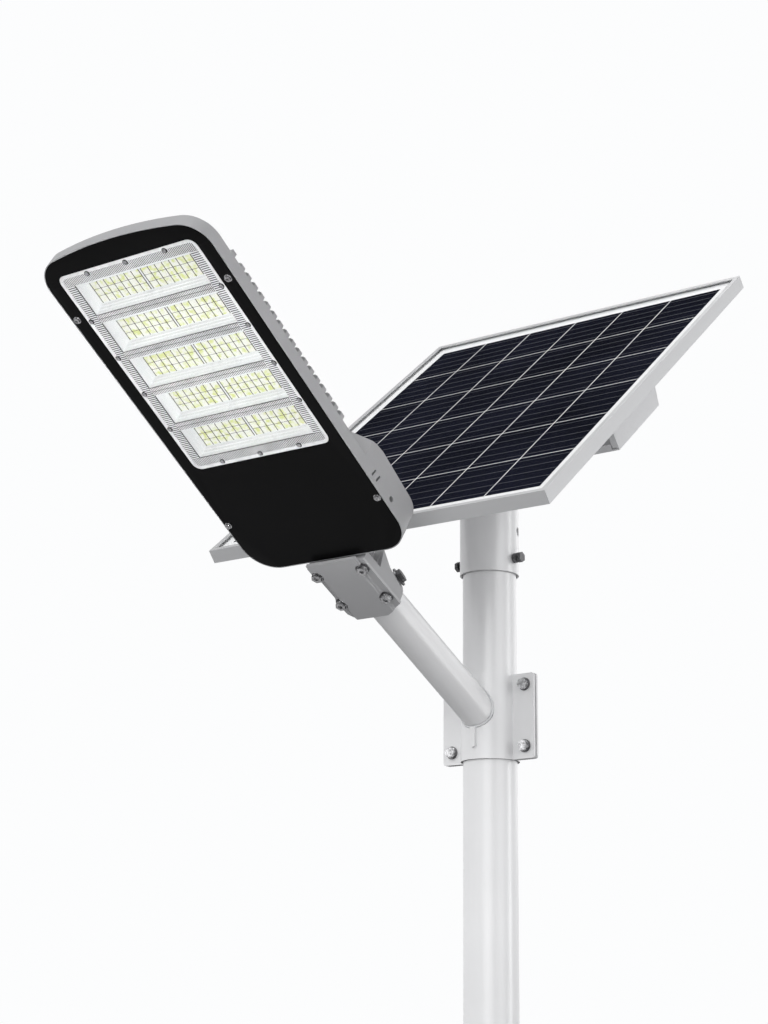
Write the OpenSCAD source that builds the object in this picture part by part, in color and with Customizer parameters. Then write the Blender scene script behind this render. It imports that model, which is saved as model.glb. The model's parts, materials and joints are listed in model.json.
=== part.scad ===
// Solar street lamp: a pole on a bolted base plate, a rising arm with a flat LED head,
// and a tilted solar panel on a sleeve over the pole's top.
// Millimetres, +Z up, origin at the middle of the base plate's underside.
// The arm and the head point towards -Y.

/* [Pole] */
// Outer diameter of the pole tube
pole_d = 76; // [74:1:80]
// Wall of the pole tube
pole_wall = 3; // [2:0.5:5]
// Height of the pole's top end above the ground
pole_h = 3000; // [2900:10:3010]
// Side of the square base plate
base_w = 350; // [330:10:450]
// Thickness of the base plate
base_t = 14; // [10:1:20]
// Distance between neighbouring anchor holes
anchor_pitch = 270; // [250:5:290]
// Diameter of each anchor hole
anchor_d = 18; // [14:1:22]

/* [Arm] */
// Height at which the arm's axis meets the pole's axis
arm_root_z = 2652.4; // [2640:0.2:2660]
// Outer diameter of the arm tube
arm_d = 51; // [48:0.5:52]
// Wall of the arm tube
arm_wall = 3; // [2:0.5:5]
// Rise of the arm above the horizontal, degrees
arm_rise = 28.1; // [20:0.1:32]
// Distance from the pole's axis to the tilt pin, along the arm
pin_reach = 379; // [370:1:420]
// Height of the two saddle halves that grip the pole
saddle_h = 119; // [110:1:130]
// Sheet thickness of the saddle halves
saddle_t = 3.2; // [2.5:0.1:4]
// Half of the saddle's width across its ears
ear_half = 76; // [74:1:80]

/* [Lamp head] */
// Rise of the head above the horizontal, degrees
head_rise = 34.2; // [30:0.1:40]
// Half of the cover plate's width near the tip
tip_half = 129.5; // [126:0.5:132]
// Half of the cover plate's width near the clamp
rear_half = 126; // [124:0.5:129.5]
// Distance from the rear cover screws to the tip of the cover plate
tip_v = 441; // [436:1:446]
// Distance from the rear cover screws back to the plate's rear edge
rear_v = 83; // [80:1:88]
// Height of the finned deck above the cover plate's face
deck_h = 18; // [18:0.5:20]
// Height of the battery compartment above the cover plate's face
bay_h = 44; // [43:1:50]
// Distance from fin to fin
fin_pitch = 14.4; // [12:0.2:14.6]
// Number of cross fins
fin_count = 17; // [8:1:17]
// Distance from one light module to the next
module_pitch = 59; // [58:0.5:60]

/* [Panel] */
// Width of the solar panel
panel_w = 554; // [540:1:600]
// Length of the solar panel along its slope
panel_l = 724; // [700:1:760]
// Depth of the panel's frame
frame_t = 20; // [18:1:30]
// Tilt of the panel, degrees
panel_tilt = 39.75; // [30:0.25:45]
// Height of the panel's centre above the ground
panel_z = 3115.9; // [3110:0.1:3140]
// Forward offset of the panel's centre from the pole's axis
panel_fwd = 11.7; // [0:0.1:20]
// Depth of the tray from the panel's face to the tray's floor
tray_drop = 62; // [60:1:70]
// Outer diameter of the sleeve over the pole's top
sleeve_d = 84; // [84:1:90]
// Height of the sleeve's lower end above the ground
sleeve_z = 2867; // [2850:1:2900]

/* [Hidden] */
$fn = 72;
eps = 0.05;

pole_r = pole_d / 2;
arm_r = arm_d / 2;

// Saddle: two pressed halves round the pole, drawn together by four bolts
saddle_in = pole_r + 0.08;
saddle_out = saddle_in + saddle_t;
saddle_z0 = arm_root_z - 51.4;
ear_gap = 4;
ear_bolt_x = 61;
ear_bolt_z = [saddle_z0 + 17.5, saddle_z0 + saddle_h - 15.4];
ear_bolt_d = 8;
washer_t = 1.6;

// Slip fitter: the arm's end is clamped between a cast half and a cap
tilt_rest = head_rise - arm_rise;
tube_end = pin_reach - 17;
clamp_s = [pin_reach - 60.7, pin_reach - 2.1];
clamp_x = 37;
clamp_face = 22;
cap_t = 4;
cap_low = 31;
cap_front = pin_reach + 11.5;
cap_rear = pin_reach - 92;
cap_half = 46;
pin_r = 5;
lug_in = 16;
lug_out = 26;
ear_out = 34;
lock_s = pin_reach - 77;
lock_turn = 55;

// Head: its own frame has Y from the clamp to the tip and Z from the plate's face to the fins
pin_v = 98.5;
pin_h = 21.7;
rim = 1.5;
wall = 5;
plate_t = 2;
deck_t = 3;
rear_r = 42;
tip_r = 38;
arch_r = 618;
arch_v = tip_v - arch_r;
corner_v = arch_v + sqrt(pow(arch_r - tip_r, 2) - pow(tip_half - tip_r, 2));
screw_x = 121;
screw_v = [0, 350];
window_x = 110;
window_v = [94.5, 412];
window_r = 12;
module_v = [for (k = [-2:2]) (window_v[0] + window_v[1]) / 2 + k * module_pitch];
seat_h = 4.4;
lens_front = 0.6;
lens_t = 2.8;
board_t = 1.6;
board_h = deck_h - deck_t - board_t;
chip_t = 0.9;
fin_v = 114.6;
fin_t = 7;
lens_screw_spots = [
    for (x = [-62, 0, 62]) [x, window_v[0] + 5.8],
    for (x = [-62, 0, 62]) [x, window_v[1] - 5.8],
    for (side = [-1, 1]) for (k = [0:3]) [side * 104.5, (module_v[k] + module_v[k + 1]) / 2]
];

// Battery and controller in the head's rear bay
cell_d = 32;
cell_l = 65;
cell_pitch = 33;
cell_h = 22;
cell_rows = [-66, 2.5];
cell_x = [for (k = [0:3]) -28 + k * cell_pitch];

// Panel: its own frame has Y up the slope and Z out of the glass
lip = 7.5;
flange = 28;
cell_margin_x = 22.4;
cell_margin_y = 28.4;
cells_across = 6;
cells_up = 6;
cell_gap = 1.8;
tray_half = 250;
tray_t = 2;
tray_front = -109;
tray_rear = 37;
tray_bolt_y = [-85, 35];
tray_bolt_x = 260;
set_z = sleeve_z + 21;

module in_arm() {
    translate([0, 0, arm_root_z]) rotate([-arm_rise, 0, 0]) rotate([0, 0, 180]) children();
}

module in_head() {
    in_arm() translate([0, pin_reach, 0]) rotate([tilt_rest, 0, 0]) translate([0, pin_v, -pin_h])
        children();
}

module in_panel() {
    translate([0, -panel_fwd, panel_z]) rotate([panel_tilt, 0, 0]) children();
}

module hex(across, height) {
    cylinder(r = across / sqrt(3), h = height, $fn = 6);
}

// A flanged hex bolt: its head rises from z = 0 and its shank goes down
module flange_bolt(d, across, head, flange_r, length) {
    cylinder(r = flange_r, h = head * 0.28);
    hex(across, head);
    translate([0, 0, -length]) cylinder(d = d, h = length);
}

module nut(d, across, height) {
    difference() {
        hex(across, height);
        translate([0, 0, -1]) cylinder(r = d / 2 + eps, h = height + 2);
    }
}

// ---------- pole ----------

module base_plate() {
    color("silver") difference() {
        translate([-base_w / 2, -base_w / 2, 0]) cube([base_w, base_w, base_t]);
        for (x = [-1, 1]) for (y = [-1, 1])
            translate([x * anchor_pitch / 2, y * anchor_pitch / 2, -1])
                cylinder(d = anchor_d, h = base_t + 2);
        translate([0, 0, -1]) cylinder(r = pole_r - pole_wall - 4, h = base_t + 2);
    }
}

module base_gussets() {
    reach = 98;
    rise = 130;
    toe = 12;
    color("silver") for (turn = [0:90:270]) rotate([0, 0, turn])
        translate([pole_r + eps, 4, base_t]) rotate([90, 0, 0]) linear_extrude(8)
            polygon([[0, 0], [reach, 0], [reach, toe], [toe, rise], [0, rise]]);
}

module pole_tube() {
    color("gainsboro") translate([0, 0, base_t]) difference() {
        cylinder(r = pole_r, h = pole_h - base_t);
        translate([0, 0, -1]) cylinder(r = pole_r - pole_wall, h = pole_h - base_t + 2);
    }
}

// ---------- saddle and arm ----------

module saddle_half() {
    difference() {
        union() {
            intersection() {
                cylinder(r = saddle_out, h = saddle_h);
                translate([-60, -60, 0]) cube([120, 60 - ear_gap / 2, saddle_h]);
            }
            for (side = [-1, 1]) ear(side);
        }
        translate([0, 0, -1]) cylinder(r = saddle_in, h = saddle_h + 2);
        for (side = [-1, 1]) for (z = ear_bolt_z)
            translate([side * ear_bolt_x, 0, z - saddle_z0]) rotate([90, 0, 0])
                cylinder(r = ear_bolt_d / 2 + 0.3, h = 30);
    }
}

module ear(side) {
    corner = 4;
    inner = saddle_in + 1;
    translate([0, -ear_gap / 2, 0]) rotate([90, 0, 0]) linear_extrude(saddle_t) {
        translate([side > 0 ? inner : -ear_half + corner, 0])
            square([ear_half - corner - inner, saddle_h]);
        translate([side > 0 ? inner : -ear_half, corner])
            square([ear_half - inner, saddle_h - 2 * corner]);
        for (z = [corner, saddle_h - corner]) translate([side * (ear_half - corner), z]) circle(r = corner);
    }
}

module saddle_front() {
    color("silver") translate([0, 0, saddle_z0]) saddle_half();
}

module saddle_back() {
    color("silver") translate([0, 0, saddle_z0]) mirror([0, 1, 0]) saddle_half();
}

module at_ear_bolts() {
    for (side = [-1, 1]) for (z = ear_bolt_z) translate([side * ear_bolt_x, 0, z]) rotate([90, 0, 0])
        children();
}

ear_face = ear_gap / 2 + saddle_t;

module saddle_bolts() {
    color("lightgray") at_ear_bolts() translate([0, 0, ear_face + washer_t])
        flange_bolt(ear_bolt_d, 13, 7, 7.6, 2 * ear_face + 2 * washer_t + 12);
}

module saddle_washers() {
    color("gray") at_ear_bolts() for (z = [ear_face, -ear_face - washer_t]) translate([0, 0, z])
        difference() {
            cylinder(r = 9, h = washer_t);
            translate([0, 0, -1]) cylinder(r = ear_bolt_d / 2 + 0.2, h = washer_t + 2);
        }
}

module saddle_nuts() {
    color("lightgray") at_ear_bolts() translate([0, 0, -ear_face - washer_t - 6.8])
        nut(ear_bolt_d, 13, 6.8);
}

module saddle_keepout(extra) {
    translate([0, 0, saddle_z0 - 50]) cylinder(r = saddle_out + extra, h = saddle_h + 100);
}

module arm_tube() {
    color("gainsboro") difference() {
        in_arm() rotate([-90, 0, 0]) difference() {
            cylinder(r = arm_r, h = tube_end);
            cylinder(r = arm_r - arm_wall, h = tube_end + 1);
        }
        saddle_keepout(eps);
    }
}

module arm_weld() {
    leg = 2;
    color("gainsboro") difference() {
        intersection() {
            in_arm() rotate([-90, 0, 0]) cylinder(r = arm_r + leg, h = 120);
            saddle_keepout(leg);
        }
        saddle_keepout(eps);
        in_arm() rotate([-90, 0, 0]) cylinder(r = arm_r + eps, h = 130);
    }
}

module arm_gusset() {
    width = 8;
    foot = saddle_z0 + 16 + width / 2;
    color("gainsboro") difference() {
        translate([0, -40, foot]) rotate([90, 0, 0]) linear_extrude(5) {
            circle(d = width);
            translate([-width / 2, 0]) square([width, 46]);
        }
        saddle_keepout(eps);
        in_arm() rotate([-90, 0, 0]) cylinder(r = arm_r + 2 + eps, h = 130);
    }
}

// ---------- slip fitter ----------

module cap_outline(waist) {
    polygon([[-cap_half, cap_front], [cap_half, cap_front], [cap_half, clamp_s[1] - 6],
        [cap_half - waist, clamp_s[1] - 16], [cap_half - waist, clamp_s[0] + 16],
        [cap_half - 1, clamp_s[0] + 4], [cap_half - 2, cap_rear + 8], [38, cap_rear],
        [-20, cap_rear], [-cap_half, cap_rear + 13]]);
}

module clamp_holes(r) {
    for (x = [-clamp_x, clamp_x]) for (s = clamp_s) translate([x, s, -40]) cylinder(r = r, h = 27);
}

module side_cheeks() {
    thick = 6;
    for (x = [-cap_half, cap_half - thick]) translate([x, 0, 0]) rotate([90, 0, 90])
        linear_extrude(thick) polygon([
            [cap_front, -clamp_face], [cap_front, -clamp_face + 4], [pin_reach - 22, -12.5],
            [pin_reach - 16, 15], [pin_reach - 39, 2], [pin_reach - 76, -7],
            [pin_reach - 77, -clamp_face]
        ]);
}

module slip_fitter() {
    color("silver") in_arm() difference() {
        union() {
            side_cheeks();
            translate([0, 0, -clamp_face]) linear_extrude(11) intersection() {
                cap_outline(2);
                translate([-60, cap_rear + 15]) square([120, 300]);
            }
            translate([0, cap_rear, 0]) rotate([-90, 0, 0]) cylinder(r = 31, h = 75);
            translate([0, lock_s, 0]) rotate([0, -lock_turn, 0]) cylinder(r = 10, h = 34);
            for (side = [-1, 1]) mirror([side > 0 ? 0 : 1, 0, 0]) pin_ear();
            cross_web();
        }
        translate([0, pin_reach - 100, 0]) rotate([-90, 0, 0]) cylinder(r = arm_r + eps, h = 83.1);
        translate([-lug_out - 0.4, pin_reach - 17.1, -17]) cube([2 * lug_out + 0.8, 60, 120]);
        translate([-80, pin_reach - 120, -60 - clamp_face]) cube([160, 160, 60]);
        clamp_holes(4 + eps);
        translate([0, lock_s, 0]) rotate([0, -lock_turn, 0]) cylinder(r = 5 + eps, h = 60);
        translate([-60, pin_reach, 0]) rotate([0, 90, 0]) cylinder(r = pin_r + 0.1, h = 120);
    }
}

// Wall between the cheeks, level with their upper edges, that closes the space round the tube's end
module cross_web() {
    half = cap_half - 5;
    translate([-half, 0, 0]) rotate([90, 0, 90]) linear_extrude(2 * half) polygon([
        [tube_end - 5, -clamp_face], [tube_end - 0.1, -clamp_face], [tube_end - 0.1, 14.4],
        [tube_end - 5, 11.6]
    ]);
}

module pin_ear() {
    translate([lug_out + 0.4, 0, 0]) rotate([90, 0, 90]) linear_extrude(ear_out - lug_out - 0.4) {
        translate([pin_reach, 0]) circle(r = 11);
        translate([pin_reach - 11, -clamp_face]) square([22, clamp_face]);
        translate([pin_reach - 30, -clamp_face]) square([25, clamp_face + 9]);
    }
}

// Section of the cap: a broad boss between two ledges, with rounded flanks
module cap_section() {
    boss_half = 34;
    boss_r = 4.4;
    root_r = 3;
    ledge = -clamp_face - cap_t;
    translate([-cap_half, ledge]) square([2 * cap_half, cap_t - eps]);
    translate([-boss_half, ledge - 0.5]) square([2 * boss_half, 0.6]);
    translate([-boss_half + boss_r, -cap_low]) square([2 * (boss_half - boss_r), 8]);
    for (side = [-1, 1]) {
        translate([side * (boss_half - boss_r), boss_r - cap_low]) circle(r = boss_r);
        translate([side * (boss_half + root_r / 2 - eps), ledge - root_r / 2 + eps]) difference() {
            square(root_r, center = true);
            translate([side * root_r / 2, -root_r / 2]) circle(r = root_r);
        }
    }
}

module clamp_cap() {
    lip_half = 39.5;
    lip_out = 10;
    color("gray") in_arm() difference() {
        union() {
            intersection() {
                translate([0, cap_front, 0]) rotate([90, 0, 0])
                    linear_extrude(cap_front - cap_rear) cap_section();
                translate([0, 0, -60]) linear_extrude(60) cap_outline(7);
            }
            translate([-lip_half, cap_front - 5, -cap_low]) cube([2 * lip_half, lip_out + 5, 4.4]);
        }
        translate([0, cap_rear - 1, 0]) rotate([-90, 0, 0])
            cylinder(r = arm_r + eps, h = tube_end - cap_rear + 1.2);
        clamp_holes(4.4);
        for (x = [-clamp_x, clamp_x]) for (s = clamp_s)
            translate([x, s, -60]) cylinder(r = 9.6, h = 60 - clamp_face - cap_t);
    }
}

module at_clamp_bolts() {
    for (x = [-clamp_x, clamp_x]) for (s = clamp_s)
        in_arm() translate([x, s, -clamp_face - cap_t]) rotate([180, 0, 0]) children();
}

module clamp_bolts() {
    color("lightgray") at_clamp_bolts() translate([0, 0, washer_t]) difference() {
        flange_bolt(8, 13, 6.5, 7, 14);
        translate([0, 0, 3]) hex(6, 10);
    }
}

module clamp_washers() {
    color("gray") at_clamp_bolts() difference() {
        cylinder(r = 8.5, h = washer_t);
        translate([0, 0, -1]) cylinder(r = 4.2, h = washer_t + 2);
    }
}

module lock_bolt() {
    color("lightgray") in_arm() translate([0, lock_s, 0]) rotate([0, -lock_turn, 0])
        translate([0, 0, 34 + eps]) flange_bolt(10, 16, 7.5, 13, 34 - arm_r - 0.1);
}

module tilt_bolt() {
    color("lightgray") in_arm() translate([-ear_out, pin_reach, 0]) rotate([0, -90, 0])
        flange_bolt(2 * pin_r, 15, 5.5, 9, 2 * ear_out + 8);
}

module tilt_nut() {
    color("lightgray") in_arm() translate([ear_out, pin_reach, 0]) rotate([0, 90, 0])
        nut(2 * pin_r, 15, 6);
}

// ---------- lamp head ----------

// Plan of the cover plate, grown outwards by g: tapering sides, round corners, arched tip
module outline(g) {
    k = (tip_half - tip_r) / (arch_r - tip_r);
    join_x = (arch_r + g) * k;
    join_v = arch_v + (arch_r + g) * sqrt(1 - k * k);
    for (side = [-1, 1]) {
        translate([side * (rear_half - rear_r), rear_r - rear_v]) circle(r = rear_r + g);
        translate([side * (tip_half - tip_r), corner_v]) circle(r = tip_r + g);
    }
    polygon([
        [-rear_half + rear_r, -rear_v - g], [rear_half - rear_r, -rear_v - g],
        [rear_half + g, rear_r - rear_v], [tip_half + g, corner_v], [join_x, join_v],
        [-join_x, join_v], [-tip_half - g, corner_v], [-rear_half - g, rear_r - rear_v]
    ]);
    intersection() {
        translate([0, arch_v]) circle(r = arch_r + g, $fn = 720);
        translate([-join_x, join_v - 20]) square([2 * join_x, 60]);
    }
}

module rounded(x0, x1, y0, y1, r) {
    translate([x0 + r, y0]) square([x1 - x0 - 2 * r, y1 - y0]);
    translate([x0, y0 + r]) square([x1 - x0, y1 - y0 - 2 * r]);
    for (x = [x0 + r, x1 - r]) for (y = [y0 + r, y1 - r]) translate([x, y]) circle(r = r);
}

// Plan of the rear bay, kept in by e
module bay_plan(e) {
    polygon([
        [-140 + e, -120], [140 - e, -120], [140 - e, 41 - 0.4 * e], [109 - 0.6 * e, 72 - e],
        [78, 98 - e], [-78, 98 - e], [-109 + 0.6 * e, 72 - e], [-140 + e, 41 - 0.4 * e]
    ]);
}

module fins() {
    for (k = [0:fin_count - 1])
        translate([0, fin_v + k * fin_pitch + fin_t / 2, 0]) rotate([90, 0, 0]) linear_extrude(fin_t)
            fin_face();
}

module fin_face() {
    crown_r = 1200;
    crown_top = 36.5;
    end_half = 128.6;
    corner = 6;
    intersection() {
        translate([0, crown_top - crown_r]) circle(r = crown_r, $fn = 720);
        rounded(-end_half, end_half, deck_h - 12, crown_top + 10, corner);
        union() {
            translate([-end_half + corner, 0]) square([2 * (end_half - corner), 60]);
            translate([-end_half, 0]) square([2 * end_half, deck_h + 4.5]);
            for (side = [-1, 1]) translate([side * (end_half - corner), deck_h + 4.5]) circle(r = corner);
        }
    }
}

module pin_lug() {
    translate([lug_in, 0, 0]) rotate([90, 0, 90]) linear_extrude(lug_out - lug_in) {
        translate([-pin_v, pin_h]) circle(r = 11);
        polygon([[-pin_v, pin_h - 11], [-rear_v + 6, 4], [-rear_v + 6, 40], [-pin_v, pin_h + 11]]);
    }
}

module housing_shell() {
    slope = 15;
    difference() {
        union() {
            linear_extrude(deck_h) outline(rim);
            intersection() {
                linear_extrude(bay_h + 10) intersection() {
                    outline(rim - 0.8);
                    bay_plan(0);
                }
                translate([-150, 0, 0]) rotate([90, 0, 90]) linear_extrude(300) polygon([
                    [-100, 0], [-100, bay_h - 3], [30, bay_h + 5.5], [46, bay_h + 3], [54, bay_h],
                    [100, bay_h], [100, 0]
                ]);
            }
            fins();
            for (side = [-1, 1]) lanyard_lug(side);
        }
        translate([0, 0, -1]) linear_extrude(1 + plate_t) outline(0.3);
        translate([0, 0, 1]) linear_extrude(deck_h - deck_t - 1) outline(-wall);
        translate([0, 0, 10]) linear_extrude(bay_h - 13.5) intersection() {
            outline(-wall);
            bay_plan(5);
            translate([-150, -rear_v + 16]) square([300, 300]);
        }
        translate([-200, -rear_v - rim, 3]) rotate([-slope, 0, 0]) translate([0, -100, 0])
            cube([400, 100, 100]);
    }
}

module lanyard_lug(side) {
    translate([side * 122 - 5, 361, deck_h - 2]) difference() {
        cube([10, 8, 12]);
        translate([5, -1, 7]) rotate([-90, 0, 0]) cylinder(r = 2, h = 10);
    }
}

module side_recesses() {
    outer = -rear_half - rim - 2;
    for (v = [18.3, 28.8]) translate([outer, v, 12.5]) rotate([10, 0, 0])
        translate([0, -1.4, -5.5]) cube([11, 2.8, 11]);
    translate([outer, -16, 11.7]) rotate([0, 90, 0]) cylinder(r = 4, h = 11);
}

module housing() {
    color("silver") in_head() difference() {
        union() {
            housing_shell();
            translate([0, 0, plate_t]) linear_extrude(deck_h - plate_t - 1) difference() {
                rounded(-window_x - 4, window_x + 4, window_v[0] - 3, window_v[1] + 4, window_r);
                rounded(-99, 99, window_v[0] + 11, window_v[1] - 11, 2);
            }
            for (side = [-1, 1]) for (v = screw_v) translate([side * screw_x, v, plate_t])
                cylinder(r = 5.5, h = deck_h - plate_t - 1);
            for (side = [-1, 1]) mirror([side > 0 ? 0 : 1, 0, 0]) pin_lug();
            translate([0, -rear_v + 7, 24]) rotate([90, 0, 0]) cylinder(r = 14, h = 7);
        }
        translate([0, 0, -1]) linear_extrude(1 + seat_h)
            rounded(-window_x, window_x, window_v[0], window_v[1], window_r);
        for (side = [-1, 1]) for (v = screw_v) translate([side * screw_x, v, -1])
            cylinder(r = 2 + eps, h = 14);
        for (spot = lens_screw_spots) translate([spot[0], spot[1], 0]) cylinder(r = 1.5 + eps, h = 13);
        translate([-60, -pin_v, pin_h]) rotate([0, 90, 0]) cylinder(r = pin_r + 0.1, h = 120);
        translate([0, -rear_v + 20, 24]) rotate([90, 0, 0]) cylinder(r = 8 + eps, h = 40);
        side_recesses();
    }
}

module cover_plate() {
    color("black") in_head() difference() {
        linear_extrude(plate_t) outline(0);
        translate([0, 0, -1]) linear_extrude(plate_t + 2)
            rounded(-window_x, window_x, window_v[0], window_v[1], window_r);
        for (side = [-1, 1]) for (v = screw_v) translate([side * screw_x, v, -1])
            cylinder(r = 2.4, h = plate_t + 2);
    }
}

module cover_gasket() {
    color("dimgray") in_head() translate([0, 0, plate_t]) linear_extrude(1.2) difference() {
        outline(-wall - 0.3);
        outline(-wall - 3);
        for (side = [-1, 1]) for (v = screw_v) translate([side * screw_x, v]) circle(r = 5.8);
    }
}

module cover_screws() {
    color("lightgray") in_head() for (side = [-1, 1]) for (v = screw_v)
        translate([side * screw_x, v, 0]) rotate([180, 0, 0]) difference() {
            union() {
                cylinder(r = 5, h = 0.9);
                cylinder(r = 3.9, h = 3.2);
                translate([0, 0, -12]) cylinder(r = 2, h = 12.5);
            }
            for (turn = [0, 90]) rotate([0, 0, turn]) translate([-2.6, -0.5, 1.6]) cube([5.2, 1, 3]);
        }
}

module lens() {
    fit = 0.3;
    color("white", 0.5) in_head() difference() {
        translate([0, 0, lens_front]) linear_extrude(lens_t) rounded(-window_x + fit, window_x - fit,
            window_v[0] + fit, window_v[1] - fit, window_r - fit);
        for (spot = lens_screw_spots) translate([spot[0], spot[1], 0]) cylinder(r = 1.8, h = 8);
    }
}

module lens_gasket() {
    color("dimgray") in_head() translate([0, 0, lens_front + lens_t]) difference() {
        linear_extrude(seat_h - lens_front - lens_t) difference() {
            rounded(-window_x + 2, window_x - 2, window_v[0] + 2, window_v[1] - 2, window_r - 2);
            rounded(-window_x + 11, window_x - 11, window_v[0] + 11, window_v[1] - 11, 2);
        }
        for (spot = lens_screw_spots) translate([spot[0], spot[1], -1]) cylinder(r = 2, h = 6);
    }
}

module lens_screws() {
    color("lightgray") in_head() for (spot = lens_screw_spots)
        translate([spot[0], spot[1], lens_front]) rotate([180, 0, 0]) {
            cylinder(r = 2.6, h = 1.4);
            translate([0, 0, -11]) cylinder(r = 1.5, h = 11);
        }
}

// A white tray with a stepped mouth and sloping walls round one light module
module reflector(k) {
    tray_l = 195;
    tray_w = module_pitch - 1;
    front = lens_front + lens_t + 0.4;
    depth = board_h - front - eps;
    color("white") in_head() translate([0, module_v[k], front]) difference() {
        translate([-tray_l / 2, -tray_w / 2, 0]) cube([tray_l, tray_w, depth]);
        translate([-94, -23.5, -1]) cube([188, 47, 2.5]);
        hull() {
            translate([-91, -21.5, 1.4]) cube([182, 43, eps]);
            translate([-80, -15, depth]) cube([160, 30, eps]);
        }
    }
}

module led_board(k) {
    color("ivory") in_head() translate([-92, module_v[k] - 22, board_h]) cube([184, 44, board_t - eps]);
}

module led_chips() {
    chip = 7;
    pitch_x = 11;
    pitch_y = 10;
    first_x = 9.5;
    color("khaki") in_head() for (v = module_v) for (side = [-1, 1]) for (i = [0:6]) for (j = [-1:1])
        translate([side * (first_x + i * pitch_x) - chip / 2, v + j * pitch_y - chip / 2, board_h - chip_t])
            cube([chip, chip, chip_t - eps]);
}

module battery_cells() {
    color("royalblue") in_head() for (v = cell_rows) for (x = cell_x)
        translate([x, v, cell_h]) rotate([-90, 0, 0]) {
            cylinder(d = cell_d, h = cell_l - 1.5);
            cylinder(d = 12, h = cell_l);
        }
}

module cell_brackets() {
    span = 4 * cell_pitch;
    thick = 6;
    color("dimgray") in_head() for (v = cell_rows) for (end = [3, cell_l - 10])
        translate([cell_x[0] - cell_pitch / 2, v + end, cell_h - 17.5]) difference() {
            cube([span, thick, 35]);
            for (k = [0:3]) translate([(k + 0.5) * cell_pitch, -1, 17.5]) rotate([-90, 0, 0])
                cylinder(r = cell_d / 2 + 0.1, h = thick + 2);
        }
}

module cell_busbars() {
    color("lightgray") in_head() for (v = cell_rows)
        for (x = [cell_x[0] - 5, cell_x[2] - 5]) for (y = [v - 0.25, v + cell_l + eps])
            translate([x, y, cell_h - 4]) cube([cell_pitch + 10, 0.2, 8]);
}

module controller_board() {
    color("darkgreen") in_head() difference() {
        translate([-108, -58, 9]) cube([58, 116, 1.6]);
        for (x = [-104, -54]) for (y = [-54, 54]) translate([x, y, 8]) cylinder(r = 1.6, h = 4);
    }
}

module controller_parts() {
    top = 10.6 + eps;
    color("dimgray") in_head() {
        for (y = [-40, -22]) translate([-96, y, top]) cylinder(r = 6, h = 16);
        translate([-82, -48, top]) cube([24, 24, 12]);
        translate([-100, 8, top]) cube([16, 12, 5]);
        translate([-76, 4, top]) cube([20, 30, 7]);
        for (k = [0:3]) translate([-98 + k * 11, 42, top]) cube([9, 12, 9]);
    }
}

module head_gland() {
    color("dimgray") in_head() translate([0, -rear_v + 7, 24]) rotate([90, 0, 0]) difference() {
        union() {
            translate([0, 0, -6]) cylinder(r = 8, h = 6.5);
            translate([0, 0, 7 + eps]) hex(22, 4);
            translate([0, 0, -6]) cylinder(r = 8, h = 14);
            translate([0, 0, 7]) cylinder(r = 7, h = 6);
        }
        translate([0, 0, -10]) cylinder(r = 3.5, h = 40);
    }
}

// ---------- panel ----------

module rail_section() {
    wall = 1.6;
    translate([0, -frame_t]) square([wall, frame_t]);
    translate([0, -wall]) square([lip, wall]);
    translate([0, -7.8]) square([10, wall]);
    translate([8.4, -frame_t]) square([wall, frame_t - 7]);
    translate([0, -frame_t]) square([flange, wall]);
}

// One frame rail of the given length, on the -Y side of a panel that is across deep, mitred at its ends
module rail(length, across) {
    reach = flange + 2;
    intersection() {
        translate([-length / 2, -across / 2, 0]) rotate([90, 0, 90]) linear_extrude(length) rail_section();
        translate([0, -across / 2, -frame_t - 1]) linear_extrude(frame_t + 2) polygon([
            [-length / 2 + eps, 0], [length / 2 - eps, 0],
            [length / 2 - reach - eps, reach], [-length / 2 + reach + eps, reach]
        ]);
    }
}

module frame_front() {
    color("gainsboro") in_panel() rail(panel_w, panel_l);
}

module frame_rear() {
    color("gainsboro") in_panel() rotate([0, 0, 180]) rail(panel_w, panel_l);
}

module side_rail(turn) {
    color("gainsboro") in_panel() difference() {
        rotate([0, 0, turn]) rail(panel_l, panel_w);
        for (x = [-1, 1]) for (y = tray_bolt_y) translate([x * tray_bolt_x, y, -frame_t - 1])
            cylinder(r = 3.3, h = 4);
    }
}

module frame_left() {
    side_rail(-90);
}

module frame_right() {
    side_rail(90);
}

module laminate(z, thick, inset) {
    in_panel() translate([-panel_w / 2 + inset, -panel_l / 2 + inset, z])
        cube([panel_w - 2 * inset, panel_l - 2 * inset, thick]);
}

module panel_glass() {
    color("lightcyan", 0.3) laminate(-4.8, 3.1, 2);
}

module solar_cells() {
    pitch_x = (panel_w - 2 * cell_margin_x) / cells_across;
    pitch_y = (panel_l - 2 * cell_margin_y) / cells_up;
    color("midnightblue") in_panel() for (i = [0:cells_across - 1]) for (j = [0:cells_up - 1])
        translate([-panel_w / 2 + cell_margin_x + i * pitch_x + cell_gap / 2,
            -panel_l / 2 + cell_margin_y + j * pitch_y + cell_gap / 2, -5.3])
            cube([pitch_x - cell_gap, pitch_y - cell_gap, 0.4]);
}

module backsheet() {
    color("white") laminate(-6.1, 0.7, 2);
}

module junction_box() {
    color("dimgray") in_panel() difference() {
        translate([-55, 190, -26]) cube([110, 90, 19.8]);
        translate([-52, 193, -27]) cube([104, 84, 18]);
        translate([0, 195, -17]) rotate([90, 0, 0]) cylinder(r = 6 + eps, h = 10);
    }
}

module junction_lid() {
    color("dimgray") in_panel() {
        translate([-55, 190, -29 - eps]) cube([110, 90, 3]);
        difference() {
            translate([-51.8, 193.2, -26 - eps]) cube([103.6, 83.6, 3]);
            translate([-50, 195, -27]) cube([100, 80, 6]);
        }
    }
}

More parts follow.
